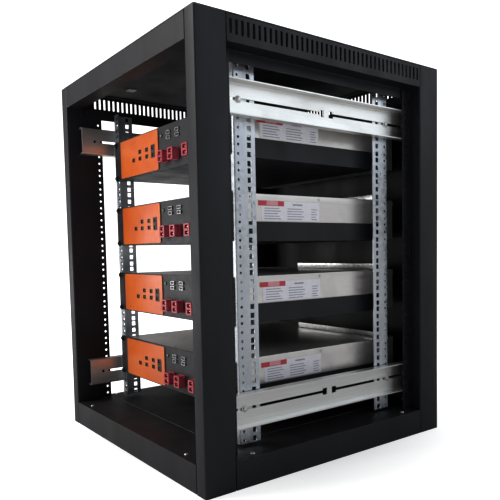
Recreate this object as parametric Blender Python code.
"""Open 19-inch rack cabinet that holds four pull-out UPS modules.

Frame: origin at the centre of the base, front towards -Y, +Z up, metres.
Every piece is one closed solid in its own object.  A module's pieces hang from
an empty on the module's slide axis, and each button, lever and fan rotor has
its origin on its own joint axis."""

import math

import bmesh
import bpy
from mathutils import Matrix, Vector

# ---------------------------------------------------------------- driving dimensions
GAP = 0.0003              # air between two pieces that touch
OVERLAP = 0.0010          # how far a fused lump reaches into its host
CUT_REACH = 0.0100        # how far a cutter runs past the face it cuts

WIDTH = 0.600             # cabinet, left to right
DEPTH = 0.600             # cabinet, front to back
RACK_UNIT = 0.04445       # one rack unit of height
RACK_UNITS = 15           # usable height in rack units
BASE_HEIGHT = 0.050       # bottom frame
CAP_HEIGHT = 0.046        # top frame with the roof
RAIL_FOOT = 0.0056        # rails start this far above the bottom frame
RAIL_HEAD = 0.0096        # and end this far below the top frame
SHEET = 0.002             # cabinet sheet metal
LIP = 0.018               # flange of the two frames along the floor and the roof
TURNDOWN = 0.020          # inner edge of the two frames, folded down except at the top front
REAR_RETURN = 0.015       # folded side edges of the rear panel

POST_FACE = 0.030         # post, seen from the front
POST_SIDE = 0.060         # post, seen from the side
POST_FIN = 0.082          # post's inner wall, front to back

VENT_WIDTH = 0.0045
VENT_HEIGHT = 0.024
VENT_PITCH = 0.0116
VENT_COUNT = 41           # on each of the left, right and rear bands
VENT_DROP = 0.0090        # from the top of the roof to the top of a slot

RACK_OPENING = 0.450      # between the rails
RACK_HOLES = 0.4651       # between the two columns of mounting holes
RACK_HOLE_SIZE = 0.0095   # square mounting hole
RACK_HOLE_STEPS = (0.00635, 0.022225, 0.0381)  # hole heights in each rack unit
RAIL_SETBACK = 0.104      # from the cabinet's front or rear to the rail's face
RAIL_FLANGE = 0.024       # rail's mounting flange, left to right
RAIL_SIDE = 0.045         # rail's side wall, front to back

BRACE_HEIGHT = 0.060
BRACE_LENGTH = 0.548
BRACE_CENTRES = (0.120, 0.658)   # lower and upper pair, above the floor
BRACE_SLOT = 0.0052       # height of the long slots
BRACE_KEY = (0.012, 0.013)       # wide end of a long slot: length, height
BRACE_SLOT_SPANS = ((-0.232, 0.0127), (0.240, 0.0254))   # thin end, wide end

MODULE_COUNT = 4
MODULE_PITCH = 0.151
MODULE_FIRST = 0.1583     # centre of the lowest module above the floor
PANEL_WIDTH = 0.4826      # front panel with its rack ears
PANEL_HEIGHT = 0.0881
PANEL_THICK = 0.003
EAR_SLOT = (0.0103, 0.0068)      # screw slot in the rack ears
EAR_SLOT_RISE = 0.0381    # screw slots above and below the module's centre
CASE_WIDTH = 0.440
CASE_DEPTH = 0.441
CASE_SHEET = 0.0015
CASE_BELOW = 0.0417       # module centre down to the chassis floor
CASE_ABOVE = 0.0430       # module centre up to the top cover

SHELF_FLANGE = 0.036      # height of the shelf's sides
SHELF_EAR = 0.0205        # shelf ear that bolts behind the rail flange

FASCIA_LEFT = -0.204
FASCIA_RIGHT = -0.020
FASCIA_HEIGHT = 0.0826
FASCIA_THICK = 0.002
PORT_SIZE = (0.0135, 0.0095)
PORT_COLUMNS = (-0.1355, -0.104, -0.071, -0.042)
PORT_ROWS = (-0.0078, 0.0066)    # the first column has the lower row only

CONNECTOR_SIZE = (0.0225, 0.0245)
CONNECTOR_REACH = 0.015   # in front of the panel
CONNECTOR_CENTRES = (0.010, 0.053, 0.110, 0.156)
CONNECTOR_RISE = -0.019   # above the module's centre
CONNECTOR_BAR = 0.005     # mounting bar behind the panel
FIT = 0.0005              # clearance around what passes through the panel

CONTROL_X = 0.190         # button and breaker lever, from the centre plane
BUTTON_RISE = 0.020
BUTTON_RADIUS = 0.008
BUTTON_PROUD = 0.003      # in front of the panel when pressed
BUTTON_TRAVEL = 0.003
BUTTON_RIM = 0.0022       # how much wider the retaining rim is
LEVER_RISE = -0.019
LEVER_SETBACK = 0.010     # pivot behind the panel's rear face
LEVER_HUB = 0.005         # radius
LEVER_WIDTH = 0.010
LEVER_THICK = 0.005
LEVER_LENGTH = 0.029      # pivot to tip
LEVER_TILT = 20.0         # degrees above the horizontal when switched on
PIN_RADIUS = 0.002
PIN_PLAY = 0.0003         # radial clearance of a pin in its hole
LUG_THICK = 0.003
LUG_HEIGHT = 0.018
LUG_REACH = 0.016         # behind the panel's rear face

FAN_X = 0.132             # fan centre, from the module's centre plane
FAN_RADIUS = 0.034        # opening in the rear wall
FAN_BOSS = 0.012          # stator boss and rotor hub radius
FAN_BOSS_LENGTH = 0.003
FAN_SHAFT = 0.013         # shaft in front of the boss
FAN_TIP_PLAY = 0.0015     # blade tip to the opening's edge
FAN_BLADES = 7
FAN_STRUT = 0.004
ROTOR_LENGTH = 0.0125
BLADE_THICK = 0.0012
BLADE_CHORD = 0.010
BLADE_PITCH = (62.0, 35.0)       # degrees off the fan's plane, root and tip

BATTERY_WIDTH = 0.258
BATTERY_FRONT = 0.024     # from the panel to the pack
BATTERY_LENGTH = 0.350
BATTERY_HEIGHT = 0.064
BATTERY_TRAY = 0.012
BATTERY_CELLS = 6
BOARD_WIDTH = 0.150
BOARD_LENGTH = 0.330
BOARD_THICK = 0.002
BOARD_RISE = 0.006        # stand-off height
STANDOFF = (0.004, 0.010)        # radius, inset from the board's edges
SINK_INSET = (0.012, 0.030)      # heat sink, from the board's left and front edges
SINK_SIZE = (0.050, 0.120, 0.008)
SINK_FINS = 6
FIN_SIZE = (0.003, 0.116, 0.030)
COIL_INSET = (0.070, 0.110)      # transformer, from the board's right and rear edges
COIL_SIZE = (0.052, 0.060, 0.040)
CAPACITORS = 3
CAPACITOR = (0.0125, 0.035)      # radius, height
CAPACITOR_INSET = (0.030, 0.045) # first one, from the board's right and front edges
CAPACITOR_PITCH = 0.036
INNER_MARGIN = 0.004      # inner parts to the case's side walls
SMALL_ROUND = 12          # sides of a small round shape

# ---------------------------------------------------------------- derived places
HALF_W = WIDTH / 2
HALF_D = DEPTH / 2
RAIL_LOW = BASE_HEIGHT + RAIL_FOOT
RAIL_HIGH = RAIL_LOW + RACK_UNITS * RACK_UNIT
CAP_LOW = RAIL_HIGH + RAIL_HEAD
HEIGHT = CAP_LOW + CAP_HEIGHT
RAIL_FACE = HALF_D - RAIL_SETBACK
RAIL_OUT = RACK_OPENING / 2 + RAIL_FLANGE
PANEL_BACK = -RAIL_FACE - GAP
CASE_FRONT = PANEL_BACK + GAP
CASE_REAR = CASE_FRONT + CASE_DEPTH
CASE_HALF = CASE_WIDTH / 2
COVER_LOW = CASE_ABOVE - CASE_SHEET
SHELF_TOP = -CASE_BELOW - GAP
SHELF_LOW = SHELF_TOP - SHEET
SHELF_IN = CASE_HALF + 4 * GAP
SHELF_OUT = SHELF_IN + SHEET
SHELF_END = RAIL_FACE - SHEET - GAP
LEDGE = POST_FACE + GAP + SHEET
POST_INNER = HALF_W - POST_FACE
POST_END = HALF_D - POST_SIDE


# ---------------------------------------------------------------- helpers
def clear_scene():
    for obj in list(bpy.data.objects):
        bpy.data.objects.remove(obj, do_unlink=True)


def material(name, colour, roughness, metallic=0.0):
    made = bpy.data.materials.new(name)
    made.use_nodes = True
    shader = made.node_tree.nodes["Principled BSDF"]
    shader.inputs["Base Color"].default_value = (*colour, 1.0)
    shader.inputs["Roughness"].default_value = roughness
    shader.inputs["Metallic"].default_value = metallic
    return made


def add_object(name, bm, finish, parent=None, place=(0, 0, 0)):
    """Turn a bmesh into a named object at a place under its parent."""
    bmesh.ops.recalc_face_normals(bm, faces=bm.faces[:])
    mesh = bpy.data.meshes.new(name)
    bm.to_mesh(mesh)
    bm.free()
    obj = bpy.data.objects.new(name, mesh)
    bpy.context.scene.collection.objects.link(obj)
    if finish is not None:
        mesh.materials.append(finish)
    obj.parent = parent
    obj.location = place
    return obj


def add_empty(name, place, parent=None):
    obj = bpy.data.objects.new(name, None)
    bpy.context.scene.collection.objects.link(obj)
    obj.parent = parent
    obj.location = place
    return obj


def box(bm, low, high):
    size = [b - a for a, b in zip(low, high)]
    centre = [(a + b) / 2 for a, b in zip(low, high)]
    matrix = Matrix.Translation(centre) @ Matrix.Diagonal((*size, 1))
    bmesh.ops.create_cube(bm, size=1, matrix=matrix)


def prism(bm, outline, axis, start, end):
    """Extrude a flat outline along axis; the outline gives the other two coordinates in order."""
    places = {"x": lambda a, b: (start, a, b),
              "y": lambda a, b: (a, start, b),
              "z": lambda a, b: (a, b, start)}
    step = {"x": (end - start, 0, 0), "y": (0, end - start, 0), "z": (0, 0, end - start)}
    face = bm.faces.new([bm.verts.new(places[axis](a, b)) for a, b in outline])
    grown = bmesh.ops.extrude_face_region(bm, geom=[face])
    verts = [item for item in grown["geom"] if isinstance(item, bmesh.types.BMVert)]
    bmesh.ops.translate(bm, verts=verts, vec=step[axis])


def circle(centre, radius, sides):
    turn = 2 * math.pi / sides
    return [(centre[0] + radius * math.cos(turn * i), centre[1] + radius * math.sin(turn * i))
            for i in range(sides)]


def lathe(bm, profile, sides):
    """Turn a profile of (radius, y) points around the Y axis; it starts and ends at radius 0."""
    rings = []
    for radius, y in profile:
        if radius == 0:
            rings.append([bm.verts.new((0, y, 0))])
        else:
            rings.append([bm.verts.new((a, y, b)) for a, b in circle((0, 0), radius, sides)])
    for lower, upper in zip(rings, rings[1:]):
        for i in range(sides):
            j = (i + 1) % sides
            corners = [lower[i % len(lower)], lower[j % len(lower)],
                       upper[j % len(upper)], upper[i % len(upper)]]
            bm.faces.new(list(dict.fromkeys(corners)))


def folded(path, thickness):
    """Outline of a folded sheet: the path is one face, the sheet lies on its right-hand side."""
    inner = []
    points = [Vector(p) for p in path]
    for i, point in enumerate(points):
        before = (point - points[i - 1]).normalized() if i > 0 else None
        after = (points[i + 1] - point).normalized() if i < len(points) - 1 else None
        normals = [Vector((d.y, -d.x)) for d in (before, after) if d is not None]
        if len(normals) == 1:
            shift = normals[0]
        else:
            shift = (normals[0] + normals[1]) / (1 + normals[0].dot(normals[1]))
        inner.append(tuple(point + shift * thickness))
    return [tuple(p) for p in points] + inner[::-1]


def mirrored(outline, sx, sy):
    return [(a * sx, b * sy) for a, b in outline]


def boolean(obj, bm, operation):
    """Cut from, or fuse to, an object; the tool object stays hidden and out of the model."""
    tool = add_object(obj.name + "_" + operation.lower(), bm, None, obj.parent, obj.location)
    tool.hide_render = True
    tool.display_type = "WIRE"
    step = obj.modifiers.new(operation.title(), "BOOLEAN")
    step.operation = operation
    step.solver = "EXACT"
    step.object = tool


def smooth(obj, angle=30.0):
    obj.data.shade_smooth()
    obj.data.set_sharp_from_angle(angle=math.radians(angle))


# ---------------------------------------------------------------- cabinet
def frame_ring(name, profile, finish):
    """Sweep a closed profile of (distance in from the outside, height) round the cabinet."""
    bm = bmesh.new()
    corners = ((-1, -1), (1, -1), (1, 1), (-1, 1))
    loops = [[bm.verts.new((sx * (HALF_W - inset), sy * (HALF_D - inset), z)) for inset, z in profile]
             for sx, sy in corners]
    for here, after in zip(loops, loops[1:] + loops[:1]):
        for i in range(len(profile)):
            j = (i + 1) % len(profile)
            bm.faces.new((here[i], here[j], after[j], after[i]))
    return add_object(name, bm, finish)


def clear_corners(ring, low, high):
    """Cut the ring's walls and ledges away where the posts run past; its inner fold stays whole."""
    corners = bmesh.new()
    for sx in (-1, 1):
        for sy in (-1, 1):
            near_x, far_x = sorted((sx * (POST_INNER - GAP), sx * (HALF_W + SHEET)))
            near_y, far_y = sorted((sy * (POST_END - GAP), sy * (HALF_D + SHEET)))
            box(corners, (near_x, near_y, low - SHEET), (far_x, far_y, high + SHEET))
    boolean(ring, corners, "DIFFERENCE")


def build_top_frame(finish):
    top = HEIGHT - SHEET - GAP
    path = [(LEDGE, CAP_LOW - TURNDOWN), (LEDGE, CAP_LOW), (0, CAP_LOW), (0, top), (LIP, top)]
    ring = frame_ring("top_frame", folded(path, SHEET), finish)
    clear_corners(ring, CAP_LOW, top)
    front = bmesh.new()
    reach, edge = HALF_W - LEDGE - SHEET, -HALF_D + LEDGE
    box(front, (-reach, edge - SHEET, CAP_LOW - TURNDOWN - SHEET), (reach, edge + 2 * SHEET, CAP_LOW))
    boolean(ring, front, "DIFFERENCE")
    slots = bmesh.new()
    high = HEIGHT - VENT_DROP
    low = high - VENT_HEIGHT
    for i in range(VENT_COUNT):
        along = (i - (VENT_COUNT - 1) / 2) * VENT_PITCH
        near, far = along - VENT_WIDTH / 2, along + VENT_WIDTH / 2
        for side in (-1, 1):
            inner, outer = sorted((side * (HALF_W - 2 * SHEET), side * (HALF_W + SHEET)))
            box(slots, (inner, near, low), (outer, far, high))
        box(slots, (near, HALF_D - 2 * SHEET, low), (far, HALF_D + SHEET, high))
    boolean(ring, slots, "DIFFERENCE")


def build_bottom_frame(finish):
    path = [(LIP, 0), (0, 0), (0, BASE_HEIGHT), (LEDGE, BASE_HEIGHT), (LEDGE, BASE_HEIGHT - TURNDOWN)]
    ring = frame_ring("bottom_frame", folded(path, SHEET), finish)
    clear_corners(ring, 0, BASE_HEIGHT)
    floor = bmesh.new()
    reach_x, reach_y = HALF_W - LEDGE + OVERLAP, HALF_D - LEDGE + OVERLAP
    box(floor, (-reach_x, -reach_y, BASE_HEIGHT - SHEET), (reach_x, reach_y, BASE_HEIGHT))
    boolean(ring, floor, "UNION")


def build_panels(finish):
    roof = bmesh.new()
    box(roof, (-HALF_W, -HALF_D, HEIGHT - SHEET), (HALF_W, HALF_D, HEIGHT))
    add_object("roof_panel", roof, finish)
    rear = bmesh.new()
    reach, edge = POST_INNER - GAP, HALF_D - REAR_RETURN
    path = [(-reach, edge), (-reach, HALF_D), (reach, HALF_D), (reach, edge)]
    prism(rear, folded(path, SHEET), "z", BASE_HEIGHT + GAP, CAP_LOW - GAP)
    add_object("rear_panel", rear, finish)


def build_posts(finish):
    """Folded posts of full height; their inner flange stops at the ledges of the two frames."""
    seam = SHEET + GAP
    path = [(POST_INNER, HALF_D - POST_FIN), (POST_INNER, HALF_D), (HALF_W, HALF_D),
            (HALF_W, POST_END), (POST_INNER + seam, POST_END)]
    outline = folded(path, SHEET)
    top = HEIGHT - SHEET - GAP
    for name, sx, sy in corner_names("post"):
        bm = bmesh.new()
        prism(bm, mirrored(outline, sx, sy), "z", 0, top)
        post = add_object(name, bm, finish)
        ends = bmesh.new()
        near_x, far_x = sorted((sx * (POST_INNER - SHEET), sx * (POST_INNER + SHEET + GAP / 2)))
        near_y, far_y = sorted((sy * (POST_END - POST_FIN), sy * POST_END))
        for low, high in ((-SHEET, BASE_HEIGHT + GAP), (CAP_LOW - GAP, top + SHEET)):
            box(ends, (near_x, near_y, low), (far_x, far_y, high))
        boolean(post, ends, "DIFFERENCE")


def corner_names(stem):
    return [(f"{stem}_{end}_{side}", sx, sy) for end, sy in (("front", -1), ("rear", 1))
            for side, sx in (("left", -1), ("right", 1))]


def build_rails(finish):
    path = [(RACK_OPENING / 2, RAIL_FACE), (RAIL_OUT, RAIL_FACE), (RAIL_OUT, RAIL_FACE - RAIL_SIDE)]
    outline = folded(path, SHEET)
    half = RACK_HOLE_SIZE / 2
    for name, sx, sy in corner_names("rail"):
        bm = bmesh.new()
        prism(bm, mirrored(outline, sx, sy), "z", RAIL_LOW, RAIL_HIGH)
        rail = add_object(name, bm, finish)
        holes = bmesh.new()
        near, far = sorted((sy * (RAIL_FACE - 2 * SHEET), sy * (RAIL_FACE + SHEET)))
        centre = sx * RACK_HOLES / 2
        for unit in range(RACK_UNITS):
            for step in RACK_HOLE_STEPS:
                z = RAIL_LOW + unit * RACK_UNIT + step
                box(holes, (centre - half, near, z - half), (centre + half, far, z + half))
        boolean(rail, holes, "DIFFERENCE")


def build_braces(finish):
    web = RAIL_OUT + GAP
    tip = POST_INNER - GAP
    key_length, key_height = BRACE_KEY
    for level, centre in zip(("lower", "upper"), BRACE_CENTRES):
        low, high = centre - BRACE_HEIGHT / 2, centre + BRACE_HEIGHT / 2
        for side, sx in (("left", -1), ("right", 1)):
            bm = bmesh.new()
            near, far = sorted((sx * web, sx * tip))
            box(bm, (near, -BRACE_LENGTH / 2, low), (far, BRACE_LENGTH / 2, high))
            brace = add_object(f"brace_{level}_{side}", bm, finish)
            pocket = bmesh.new()
            near, far = sorted((sx * (web + SHEET), sx * (tip + SHEET)))
            reach = BRACE_LENGTH / 2 - SHEET
            box(pocket, (near, -reach, low + SHEET), (far, reach, high - SHEET))
            boolean(brace, pocket, "DIFFERENCE")
            slots = bmesh.new()
            near, far = sorted((sx * (web - SHEET), sx * (web + 2 * SHEET)))
            for thin, wide in BRACE_SLOT_SPANS:
                back = wide + math.copysign(key_length, thin - wide)
                outline = [(thin, centre - BRACE_SLOT / 2), (back, centre - BRACE_SLOT / 2),
                           (back, centre - key_height / 2), (wide, centre - key_height / 2),
                           (wide, centre + key_height / 2), (back, centre + key_height / 2),
                           (back, centre + BRACE_SLOT / 2), (thin, centre + BRACE_SLOT / 2)]
                prism(slots, outline, "x", near, far)
            boolean(brace, slots, "DIFFERENCE")


def build_shelf(number, centre, finish):
    """Tray open to front and rear, with four ears that bolt behind the rail flanges."""
    low = centre + SHELF_LOW
    floor = bmesh.new()
    box(floor, (-SHELF_OUT, -SHELF_END, low), (SHELF_OUT, SHELF_END, low + SHEET))
    shelf = add_object(f"shelf_{number}", floor, finish)
    ear = RACK_OPENING / 2 + SHELF_EAR
    path = [(ear, SHELF_END), (SHELF_IN, SHELF_END), (SHELF_IN, -SHELF_END), (ear, -SHELF_END)]
    sides = bmesh.new()
    for sx in (-1, 1):
        outline = folded([(x, -y) for x, y in path], SHEET)
        prism(sides, mirrored(outline, sx, 1), "z", low, low + SHELF_FLANGE)
    boolean(shelf, sides, "UNION")


# ---------------------------------------------------------------- one module
def build_chassis(name, finish, parent):
    """Tray with a rear wall that holds the fan grille and the stator boss with its shaft."""
    depth = CASE_REAR - PANEL_BACK
    start = CASE_FRONT - PANEL_BACK
    top = COVER_LOW - GAP
    bm = bmesh.new()
    box(bm, (-CASE_HALF, start, -CASE_BELOW), (CASE_HALF, depth, top))
    chassis = add_object(name, bm, finish, parent)
    hollow = bmesh.new()
    inside = CASE_HALF - CASE_SHEET
    box(hollow, (-inside, start - CUT_REACH, -CASE_BELOW + CASE_SHEET),
        (inside, depth - CASE_SHEET, top + CUT_REACH))
    boolean(chassis, hollow, "DIFFERENCE")
    grille = bmesh.new()
    strut = math.asin(FAN_STRUT / 2 / FAN_RADIUS)
    strut_inner = math.asin(FAN_STRUT / 2 / (FAN_BOSS + FAN_STRUT))
    for quarter in range(4):
        turn = quarter * math.pi / 2
        outer = arc(FAN_RADIUS, turn + strut, turn + math.pi / 2 - strut, 8)
        inner = arc(FAN_BOSS + FAN_STRUT, turn + math.pi / 2 - strut_inner, turn + strut_inner, 3)
        outline = [(FAN_X + a, b) for a, b in outer + inner]
        prism(grille, outline, "y", depth - 2 * CASE_SHEET, depth + CASE_SHEET)
    boolean(chassis, grille, "DIFFERENCE")
    stator = bmesh.new()
    face = depth - CASE_SHEET
    lathe(stator, [(0, face + OVERLAP), (FAN_BOSS, face + OVERLAP), (FAN_BOSS, face - FAN_BOSS_LENGTH),
                   (PIN_RADIUS, face - FAN_BOSS_LENGTH),
                   (PIN_RADIUS, face - FAN_BOSS_LENGTH - FAN_SHAFT),
                   (0, face - FAN_BOSS_LENGTH - FAN_SHAFT)], SMALL_ROUND)
    bmesh.ops.translate(stator, verts=stator.verts, vec=(FAN_X, 0, 0))
    boolean(chassis, stator, "UNION")


def arc(radius, start, end, steps):
    return [(radius * math.cos(start + (end - start) * i / steps),
             radius * math.sin(start + (end - start) * i / steps)) for i in range(steps + 1)]


def build_cover(name, finish, parent):
    bm = bmesh.new()
    start, end = CASE_FRONT - PANEL_BACK, CASE_REAR - PANEL_BACK
    box(bm, (-CASE_HALF, start, COVER_LOW), (CASE_HALF, end, CASE_ABOVE))
    add_object(name, bm, finish, parent)


def build_front_panel(name, finish, parent):
    """Panel with rack ears, connector windows, button hole, lever slot and the lever's two lugs."""
    bm = bmesh.new()
    box(bm, (-PANEL_WIDTH / 2, -PANEL_THICK, -PANEL_HEIGHT / 2), (PANEL_WIDTH / 2, 0, PANEL_HEIGHT / 2))
    panel = add_object(name, bm, finish, parent)

    lugs = bmesh.new()
    lug_in = LEVER_WIDTH / 2 + GAP
    for side in (-1, 1):
        near, far = sorted((CONTROL_X + side * lug_in, CONTROL_X + side * (lug_in + LUG_THICK)))
        low, high = LEVER_RISE - LUG_HEIGHT / 2, LEVER_RISE + LUG_HEIGHT / 2
        box(lugs, (near, -OVERLAP, low), (far, LUG_REACH, high))
    boolean(panel, lugs, "UNION")

    cuts = bmesh.new()
    front, back = -PANEL_THICK - SHEET, SHEET
    slot_x, slot_z = EAR_SLOT[0] / 2, EAR_SLOT[1] / 2
    for sx in (-1, 1):
        for sz in (-1, 1):
            x, z = sx * RACK_HOLES / 2, sz * EAR_SLOT_RISE
            box(cuts, (x - slot_x, front, z - slot_z), (x + slot_x, back, z + slot_z))
    half_x, half_z = CONNECTOR_SIZE[0] / 2 + FIT, CONNECTOR_SIZE[1] / 2 + FIT
    low, high = CONNECTOR_RISE - half_z, CONNECTOR_RISE + half_z
    for x in CONNECTOR_CENTRES:
        box(cuts, (x - half_x, front, low), (x + half_x, back, high))
    prism(cuts, circle((CONTROL_X, BUTTON_RISE), BUTTON_RADIUS + FIT, 2 * SMALL_ROUND), "y", front, back)
    swing = (LEVER_SETBACK + PANEL_THICK) * math.tan(math.radians(LEVER_TILT))
    slot_half = swing + LEVER_THICK / 2 / math.cos(math.radians(LEVER_TILT)) + FIT
    box(cuts, (CONTROL_X - LEVER_WIDTH / 2 - GAP / 2, front, LEVER_RISE - slot_half),
        (CONTROL_X + LEVER_WIDTH / 2 + GAP / 2, OVERLAP / 2, LEVER_RISE + slot_half))
    prism(cuts, circle((LEVER_SETBACK, LEVER_RISE), PIN_RADIUS + PIN_PLAY, SMALL_ROUND), "x",
          CONTROL_X - lug_in - 2 * LUG_THICK, CONTROL_X + lug_in + 2 * LUG_THICK)
    boolean(panel, cuts, "DIFFERENCE")


def build_fascia(name, finish, parent):
    back = -PANEL_THICK - GAP
    bm = bmesh.new()
    half = FASCIA_HEIGHT / 2
    box(bm, (FASCIA_LEFT, back - FASCIA_THICK, -half), (FASCIA_RIGHT, back, half))
    fascia = add_object(name, bm, finish, parent)
    ports = bmesh.new()
    half_x, half_z = PORT_SIZE[0] / 2, PORT_SIZE[1] / 2
    front, rear = back - 2 * FASCIA_THICK, back + FASCIA_THICK
    for column, x in enumerate(PORT_COLUMNS):
        for z in PORT_ROWS[:1] if column == 0 else PORT_ROWS:
            box(ports, (x - half_x, front, z - half_z), (x + half_x, rear, z + half_z))
    boolean(fascia, ports, "DIFFERENCE")


def build_connectors(name, finish, parent):
    """Four DC connector housings on one bar behind the panel."""
    half_x, half_z = CONNECTOR_SIZE[0] / 2, CONNECTOR_SIZE[1] / 2
    left, right = CONNECTOR_CENTRES[0] - half_x - FIT, CONNECTOR_CENTRES[-1] + half_x + FIT
    bm = bmesh.new()
    low, high = CONNECTOR_RISE - half_z - 2 * FIT, CONNECTOR_RISE + half_z + 2 * FIT
    box(bm, (left, 2 * GAP, low), (right, CONNECTOR_BAR, high))
    bar = add_object(name, bm, finish, parent)
    housings = bmesh.new()
    front = -PANEL_THICK - CONNECTOR_REACH
    for x in CONNECTOR_CENTRES:
        box(housings, (x - half_x, front, CONNECTOR_RISE - half_z),
            (x + half_x, 2 * GAP + OVERLAP, CONNECTOR_RISE + half_z))
    boolean(bar, housings, "UNION")


def build_button(name, finish, parent):
    """Push button: its rim stays behind the panel and its face stands proud."""
    front = -PANEL_THICK - BUTTON_PROUD - BUTTON_TRAVEL
    rim = BUTTON_RADIUS + BUTTON_RIM
    edge = BUTTON_RIM / 2
    bm = bmesh.new()
    lathe(bm, [(0, front), (BUTTON_RADIUS - edge, front), (BUTTON_RADIUS, front + edge),
               (BUTTON_RADIUS, GAP), (rim, GAP), (rim, GAP + BUTTON_RIM), (0, GAP + BUTTON_RIM)],
          SMALL_ROUND)
    smooth(add_object(name, bm, finish, parent, (CONTROL_X, 0, BUTTON_RISE)))


def build_lever(name, finish, parent):
    """Toggle on a hub with two pins; its origin is on the pivot."""
    half = LEVER_WIDTH / 2
    end = half + LUG_THICK
    bm = bmesh.new()
    lathe(bm, [(0, -end), (PIN_RADIUS, -end), (PIN_RADIUS, -half), (LEVER_HUB, -half),
               (LEVER_HUB, half), (PIN_RADIUS, half), (PIN_RADIUS, end), (0, end)], SMALL_ROUND)
    bmesh.ops.rotate(bm, verts=bm.verts, matrix=Matrix.Rotation(math.pi / 2, 3, "Z"))
    lever = add_object(name, bm, finish, parent, (CONTROL_X, LEVER_SETBACK, LEVER_RISE))
    blade = bmesh.new()
    thick = LEVER_THICK / 2
    side = half - GAP
    box(blade, (-side, -LEVER_LENGTH, -thick), (side, 0, thick))
    bmesh.ops.rotate(blade, verts=blade.verts, matrix=Matrix.Rotation(-math.radians(LEVER_TILT), 3, "X"))
    boolean(lever, blade, "UNION")


def build_rotor(name, finish, parent):
    """Hub with a through bore and twisted blades; its origin is on the shaft's axis."""
    bore = PIN_RADIUS + PIN_PLAY
    sides = 2 * FAN_BLADES
    near, far = -ROTOR_LENGTH / 2, ROTOR_LENGTH / 2
    bm = bmesh.new()
    rings = [[bm.verts.new((a, y, b)) for a, b in circle((0, 0), radius, sides)]
             for radius, y in ((FAN_BOSS, near), (FAN_BOSS, far), (bore, far), (bore, near))]
    for here, after in zip(rings, rings[1:] + rings[:1]):
        for i in range(sides):
            j = (i + 1) % sides
            bm.faces.new((here[i], here[j], after[j], after[i]))
    face = CASE_REAR - PANEL_BACK - CASE_SHEET
    middle = face - FAN_BOSS_LENGTH - GAP - ROTOR_LENGTH / 2
    rotor = add_object(name, bm, finish, parent, (FAN_X, middle, 0))
    blades = bmesh.new()
    tip = FAN_RADIUS - FAN_TIP_PLAY
    root = FAN_BOSS - OVERLAP
    for i in range(FAN_BLADES):
        made = bmesh.new()
        box(made, (root, -BLADE_THICK / 2, -BLADE_CHORD / 2), (tip, BLADE_THICK / 2, BLADE_CHORD / 2))
        for vert in made.verts:
            pitch = BLADE_PITCH[0] if vert.co.x < FAN_BOSS else BLADE_PITCH[1]
            vert.co = Matrix.Rotation(math.radians(pitch), 3, "X") @ vert.co
        turn = Matrix.Rotation(2 * math.pi * i / FAN_BLADES, 3, "Y")
        bmesh.ops.rotate(made, verts=made.verts, matrix=turn)
        merge(blades, made)
    boolean(rotor, blades, "UNION")


def merge(bm, other):
    mesh = bpy.data.meshes.new("part")
    other.to_mesh(mesh)
    other.free()
    bm.from_mesh(mesh)
    bpy.data.meshes.remove(mesh)


def build_battery(name, finish, parent):
    """Row of cell blocks on a common tray, at the left of the case."""
    left = -CASE_HALF + CASE_SHEET + INNER_MARGIN
    low = -CASE_BELOW + CASE_SHEET + GAP
    tray_top = low + BATTERY_TRAY
    bm = bmesh.new()
    box(bm, (left, BATTERY_FRONT, low), (left + BATTERY_WIDTH, BATTERY_FRONT + BATTERY_LENGTH, tray_top))
    tray = add_object(name, bm, finish, parent)
    cells = bmesh.new()
    pitch = BATTERY_LENGTH / BATTERY_CELLS
    for i in range(BATTERY_CELLS):
        start = BATTERY_FRONT + i * pitch + INNER_MARGIN / 2
        box(cells, (left + INNER_MARGIN / 2, start, tray_top - OVERLAP),
            (left + BATTERY_WIDTH - INNER_MARGIN / 2, start + pitch - INNER_MARGIN, low + BATTERY_HEIGHT))
    boolean(tray, cells, "UNION")


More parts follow.
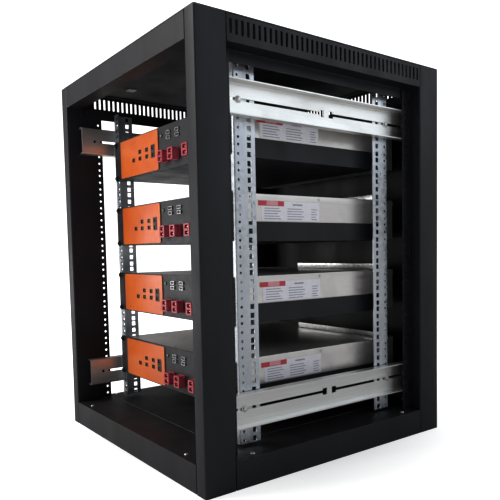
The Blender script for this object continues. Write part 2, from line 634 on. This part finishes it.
def build_board(name, finish, parent):
    """Circuit board on four stand-offs, with a finned heat sink, a transformer and capacitors."""
    right = CASE_HALF - CASE_SHEET - INNER_MARGIN
    left = right - BOARD_WIDTH
    front = BATTERY_FRONT + INNER_MARGIN
    back = front + BOARD_LENGTH
    floor = -CASE_BELOW + CASE_SHEET + GAP
    low = floor + BOARD_RISE
    top = low + BOARD_THICK
    bm = bmesh.new()
    box(bm, (left, front, low), (right, back, top))
    board = add_object(name, bm, finish, parent)
    lumps = bmesh.new()
    radius, inset = STANDOFF
    for x in (left + inset, right - inset):
        for y in (front + inset, back - inset):
            prism(lumps, circle((x, y), radius, SMALL_ROUND // 2), "z", floor, low + BOARD_THICK / 2)
    seat = top - BOARD_THICK / 2
    sink_x, sink_y = left + SINK_INSET[0], front + SINK_INSET[1]
    sink_top = top + SINK_SIZE[2]
    box(lumps, (sink_x, sink_y, seat), (sink_x + SINK_SIZE[0], sink_y + SINK_SIZE[1], sink_top))
    coil_x, coil_y = right - COIL_INSET[0], back - COIL_INSET[1]
    box(lumps, (coil_x, coil_y, seat), (coil_x + COIL_SIZE[0], coil_y + COIL_SIZE[1], top + COIL_SIZE[2]))
    for i in range(CAPACITORS):
        spot = (right - CAPACITOR_INSET[0], front + CAPACITOR_INSET[1] + i * CAPACITOR_PITCH)
        prism(lumps, circle(spot, CAPACITOR[0], SMALL_ROUND), "z", seat, top + CAPACITOR[1])
    boolean(board, lumps, "UNION")
    fins = bmesh.new()
    edge = (SINK_SIZE[1] - FIN_SIZE[1]) / 2
    pitch = (SINK_SIZE[0] - FIN_SIZE[0] - 2 * edge) / (SINK_FINS - 1)
    for i in range(SINK_FINS):
        x, y = sink_x + edge + i * pitch, sink_y + edge
        box(fins, (x, y, sink_top - OVERLAP), (x + FIN_SIZE[0], y + FIN_SIZE[1], sink_top + FIN_SIZE[2]))
    boolean(board, fins, "UNION")


def build_module(number, centre, paint):
    stem = f"module_{number}"
    slide = add_empty(stem + "_slide", (0, PANEL_BACK, centre))
    build_chassis(stem + "_chassis", paint["case"], slide)
    build_cover(stem + "_cover", paint["case"], slide)
    build_front_panel(stem + "_front_panel", paint["panel"], slide)
    build_fascia(stem + "_fascia", paint["orange"], slide)
    build_connectors(stem + "_dc_connectors", paint["red"], slide)
    build_button(stem + "_power_button", paint["button"], slide)
    build_lever(stem + "_breaker_lever", paint["button"], slide)
    build_rotor(stem + "_fan_rotor", paint["plastic"], slide)
    build_battery(stem + "_battery_pack", paint["battery"], slide)
    build_board(stem + "_power_board", paint["board"], slide)


def build_all():
    clear_scene()
    black = material("powder_coat", (0.022, 0.023, 0.026), 0.55, 0.1)
    galvanised = material("galvanised", (0.55, 0.57, 0.60), 0.38, 0.9)
    zinc = material("zinc", (0.66, 0.66, 0.65), 0.30, 0.9)
    paint = {
        "case": material("case_steel", (0.52, 0.51, 0.50), 0.35, 0.8),
        "panel": material("panel_black", (0.025, 0.026, 0.030), 0.50, 0.1),
        "orange": material("fascia_orange", (0.85, 0.16, 0.03), 0.45),
        "red": material("connector_red", (0.35, 0.01, 0.03), 0.35),
        "button": material("button_grey", (0.18, 0.18, 0.19), 0.45),
        "plastic": material("fan_plastic", (0.03, 0.03, 0.03), 0.50),
        "battery": material("battery_wrap", (0.05, 0.12, 0.32), 0.45),
        "board": material("board_green", (0.02, 0.14, 0.06), 0.50),
    }
    build_top_frame(black)
    build_bottom_frame(black)
    build_panels(black)
    build_posts(black)
    build_rails(galvanised)
    build_braces(zinc)
    for number in range(1, MODULE_COUNT + 1):
        centre = MODULE_FIRST + (MODULE_COUNT - number) * MODULE_PITCH
        build_shelf(number, centre, black)
        build_module(number, centre, paint)


build_all()
